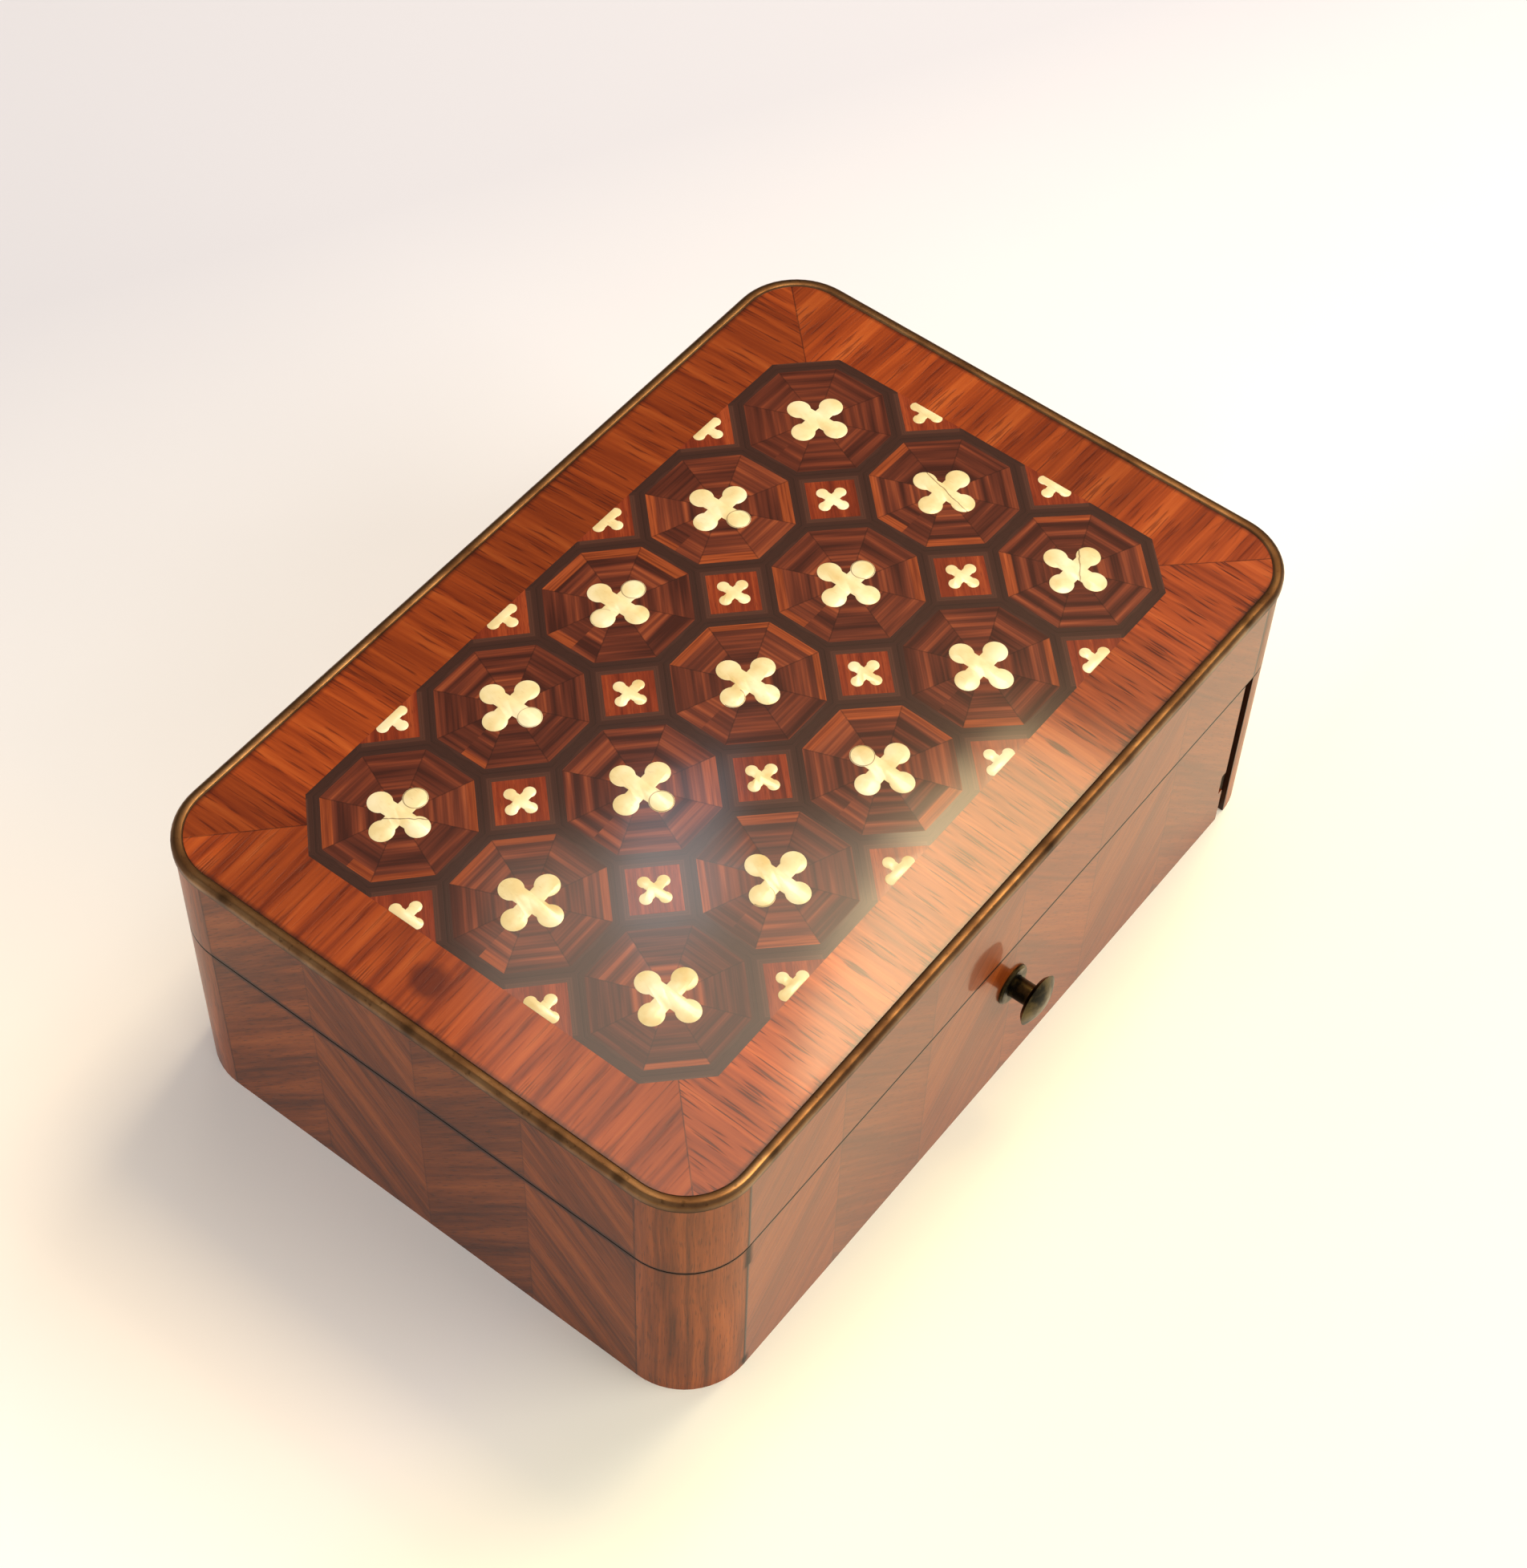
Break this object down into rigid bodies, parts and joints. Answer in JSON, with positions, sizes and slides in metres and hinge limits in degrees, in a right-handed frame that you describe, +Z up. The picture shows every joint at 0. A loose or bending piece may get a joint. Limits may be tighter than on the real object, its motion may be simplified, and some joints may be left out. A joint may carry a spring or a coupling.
{
  "type": "hinged marquetry box",
  "caption": "Small rectangular wooden box with rounded corners, a crowned lid inlaid with octagons and bone quatrefoils, hinged at the back and released by a push button.",
  "frame": {"origin": "middle of the underside, on the face that the box rests on", "axes": "+X along the long side, +Z up, the front with its push button faces -Y"},
  "size_m": [0.1226, 0.0905, 0.0461],
  "materials": {
    "side_veneer": "polished varnish",
    "corner_veneer": "polished varnish",
    "carcass_wood": "bare",
    "crossbanding_wood": "polished varnish",
    "banding_wood": "polished varnish",
    "wedge_wood": "polished varnish",
    "square_wood": "polished varnish",
    "bone": "polished bone",
    "bead_brass": "patinated",
    "button_brass": "dark patina",
    "hinge_brass": "satin"
  },
  "bodies": {
    "base": {"base_back_board": "carcass_wood", "base_back_veneer": "side_veneer", "base_corner_blocks": "carcass_wood", "base_corner_veneers": "corner_veneer", "base_front_board": "carcass_wood", "base_front_veneer": "side_veneer", "base_hinge_leaves": "hinge_brass", "base_hinge_screws": "hinge_brass", "base_left_board": "carcass_wood", "base_left_veneer": "side_veneer", "base_right_board": "carcass_wood", "base_right_veneer": "side_veneer", "bottom_board": "carcass_wood", "button_collar": "button_brass", "catch_foot": "hinge_brass", "catch_screws": "hinge_brass", "hinge_pins": "hinge_brass"},
    "lid": {"banding_lattice": "banding_wood", "border_half_quatrefoils": "bone", "border_triangles": "square_wood", "crossbanding_back": "crossbanding_wood", "crossbanding_front": "crossbanding_wood", "crossbanding_left": "crossbanding_wood", "crossbanding_right": "crossbanding_wood", "edge_bead": "bead_brass", "keeper": "hinge_brass", "keeper_screws": "hinge_brass", "large_quatrefoils": "bone", "lid_back_board": "carcass_wood", "lid_back_veneer": "side_veneer", "lid_corner_blocks": "carcass_wood", "lid_corner_veneers": "corner_veneer", "lid_front_board": "carcass_wood", "lid_front_veneer": "side_veneer", "lid_hinge_leaves": "hinge_brass", "lid_hinge_screws": "hinge_brass", "lid_left_board": "carcass_wood", "lid_left_veneer": "side_veneer", "lid_right_board": "carcass_wood", "lid_right_veneer": "side_veneer", "lid_top_board": "carcass_wood", "octagon_wedges": "wedge_wood", "small_quatrefoils": "bone", "square_tiles": "square_wood"},
    "button": {"button_head": "button_brass", "button_stem": "hinge_brass"},
    "catch": {"catch_blade": "hinge_brass"}
  },
  "joints": [
    {"name": "lid_hinge", "type": "hinge", "parent": "base", "child": "lid", "pos_m": [0, 0.0429, 0.0287], "axis": [-1, 0, 0], "range_deg": [0, 100]},
    {"name": "button_press", "type": "slide", "parent": "base", "child": "button", "axis": [0, 1, 0], "range_m": [0, 0.0015], "stiffness_N_per_m": 600, "springref_m": -0.0015},
    {"name": "catch_flex", "type": "hinge", "parent": "base", "child": "catch", "pos_m": [0, -0.0354, 0.0095], "axis": [-1, 0, 0], "range_deg": [0, 8.5]}
  ],
  "couplings": [
    {"joint": "catch_flex", "follows": "button_press", "rad_per_m": 95.238}
  ]
}
